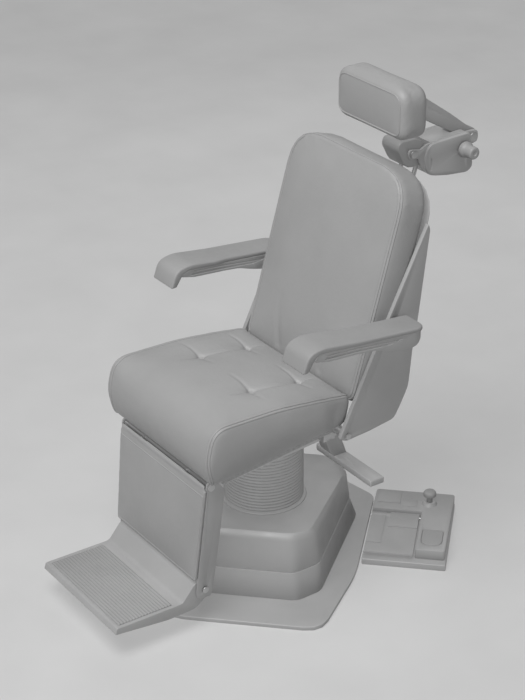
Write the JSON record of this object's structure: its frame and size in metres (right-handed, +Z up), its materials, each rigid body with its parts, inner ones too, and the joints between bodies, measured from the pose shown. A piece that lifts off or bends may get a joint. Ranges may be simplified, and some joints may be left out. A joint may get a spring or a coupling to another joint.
{
  "type": "dental chair",
  "caption": "Hydraulic dental chair with padded seat, reclining back, linked leg rest, folding footrest, flip-up arms, jointed headrest, bellows column and foot control.",
  "frame": {"origin": "on the floor, on the axis of the lift column, which the seat swivels about", "axes": "+Z up; the sitter faces -Y; +X is the sitter's left, where the swivel lock lever is"},
  "size_m": [0.7993, 1.2651, 1.309],
  "materials": {
    "vinyl": "smooth upholstery vinyl with a fine grain",
    "paint": "stoved enamel, satin",
    "steel": "bright or zinc plated steel",
    "rubber": "moulded rubber, matt",
    "plastic": "moulded plastic, matt",
    "wood": "bare plywood"
  },
  "bodies": {
    "base": {"base_plate": "paint", "lower_base_cover": "paint", "upper_base_cover": "paint", "bellows_ring": "paint", "outer_column": "steel", "pump_unit": "paint", "foot_control_tray": "paint", "foot_control_housing": "plastic", "treadle_pin": "steel"},
    "foot_pad": {"foot_pad": "rubber"},
    "foot_button": {"foot_button": "rubber"},
    "treadle": {"treadle": "plastic"},
    "lift": {"bellows": "rubber", "lift_ram": "steel", "swivel_hub": "steel", "swivel_bearing": "steel"},
    "seat": {"swivel_plate": "steel", "seat_frame": "steel", "seat_board": "wood", "seat_cushion": "vinyl", "knee_rod": "steel", "lever_bracket": "paint", "lever_bolt": "steel", "recline_cylinder": "paint"},
    "lock_lever": {"swivel_lock_lever": "paint"},
    "leg_link": {"leg_link": "steel"},
    "recline_rod": {"recline_rod": "steel"},
    "back": {"back_shaft": "steel", "back_frame": "steel", "back_board": "wood", "back_cushion": "vinyl", "back_cover": "paint", "side_panel_left": "paint", "side_panel_right": "paint", "shaft_bolt_left": "steel", "shaft_bolt_right": "steel", "arm_pivot_left": "steel", "arm_pivot_right": "steel", "headrest_guide": "paint"},
    "left_arm": {"armrest_pad_left": "rubber", "armrest_bar_left": "paint"},
    "right_arm": {"armrest_pad_right": "rubber", "armrest_bar_right": "paint"},
    "leg_rest": {"leg_frame": "paint", "leg_pad": "vinyl", "leg_board": "wood", "footrest_bolt_left": "steel", "footrest_bolt_right": "steel"},
    "footrest": {"footrest_plate": "paint", "footrest_mat": "rubber"},
    "headrest_slide": {"headrest_rod_left": "steel", "headrest_rod_right": "steel", "headrest_block": "paint", "block_screw": "steel"},
    "lower_link": {"headrest_lower_link": "paint", "rear_hub_screw": "steel"},
    "lock_knob": {"headrest_lock_knob": "plastic"},
    "upper_link": {"headrest_upper_link": "paint"},
    "headrest": {"headrest_bracket": "paint", "headrest_pad": "vinyl"}
  },
  "joints": [
    {"name": "lift", "type": "slide", "parent": "base", "child": "lift", "axis": [0, 0, 1], "range_m": [0, 0.25], "deforming": ["bellows"]},
    {"name": "swivel", "type": "hinge", "parent": "lift", "child": "seat", "pos_m": [0, 0, 0.41], "axis": [0, 0, 1], "range_deg": [-75, 90]},
    {"name": "recline", "type": "hinge", "parent": "seat", "child": "back", "pos_m": [0, 0.086, 0.47], "axis": [-1, 0, 0], "range_deg": [0, 60]},
    {"name": "leg_raise", "type": "hinge", "parent": "seat", "child": "leg_rest", "pos_m": [0, -0.3, 0.424], "axis": [-1, 0, 0], "range_deg": [0, 75]},
    {"name": "leg_link_slide", "type": "slide", "parent": "seat", "child": "leg_link", "axis": [0, -1, 0], "range_m": [0, 0.055]},
    {"name": "recline_rod_slide", "type": "slide", "parent": "seat", "child": "recline_rod", "axis": [0, -1, 0], "range_m": [0, 0.055]},
    {"name": "footrest_flip", "type": "hinge", "parent": "leg_rest", "child": "footrest", "pos_m": [0, -0.314, 0.118], "axis": [-1, 0, 0], "range_deg": [0, 42]},
    {"name": "swivel_lock", "type": "hinge", "parent": "seat", "child": "lock_lever", "pos_m": [0.104, 0.162, 0.321], "axis": [0, 0, -1], "range_deg": [0, 14]},
    {"name": "left_arm_flip", "type": "hinge", "parent": "back", "child": "left_arm", "pos_m": [0.3, 0.222, 0.748], "axis": [-1, 0, 0], "range_deg": [0, 90]},
    {"name": "right_arm_flip", "type": "hinge", "parent": "back", "child": "right_arm", "pos_m": [-0.3, 0.222, 0.748], "axis": [-1, 0, 0], "range_deg": [0, 90]},
    {"name": "headrest_height", "type": "slide", "parent": "back", "child": "headrest_slide", "axis": [0, 0.2756, 0.9613], "range_m": [0, 0.1]},
    {"name": "headrest_reach", "type": "hinge", "parent": "headrest_slide", "child": "lower_link", "pos_m": [0, 0.447, 1.092], "axis": [-1, 0, 0], "range_deg": [-10, 18]},
    {"name": "headrest_swing", "type": "hinge", "parent": "lower_link", "child": "upper_link", "pos_m": [0, 0.661, 1.09], "axis": [-1, 0, 0], "range_deg": [0, 20]},
    {"name": "headrest_tilt", "type": "hinge", "parent": "upper_link", "child": "headrest", "pos_m": [0, 0.438, 1.236], "axis": [-1, 0, 0], "range_deg": [-20, 20]},
    {"name": "headrest_lock", "type": "hinge", "parent": "lower_link", "child": "lock_knob", "pos_m": [0.068, 0.612, 1.073], "axis": [1, 0, 0], "range_deg": [-90, 90]},
    {"name": "treadle_press", "type": "hinge", "parent": "base", "child": "treadle", "pos_m": [0.08656, 0.38906, 0.034], "axis": [0.6947, 0.7193, 0], "range_deg": [0, 2.5], "stiffness_Nm_per_rad": 60, "springref_deg": -1.72},
    {"name": "button_press", "type": "slide", "parent": "base", "child": "foot_button", "axis": [0, 0, -1], "range_m": [0, 0.01], "stiffness_N_per_m": 1500, "springref_m": -0.004},
    {"name": "pad_press", "type": "slide", "parent": "base", "child": "foot_pad", "axis": [0, 0, -1], "range_m": [0, 0.003], "stiffness_N_per_m": 6000, "springref_m": -0.0015}
  ],
  "couplings": [
    {"joint": "leg_raise", "follows": "recline", "ratio": 1.25},
    {"joint": "leg_link_slide", "follows": "recline", "m_per_rad": 0.0525},
    {"joint": "recline_rod_slide", "follows": "recline", "m_per_rad": 0.0525}
  ]
}
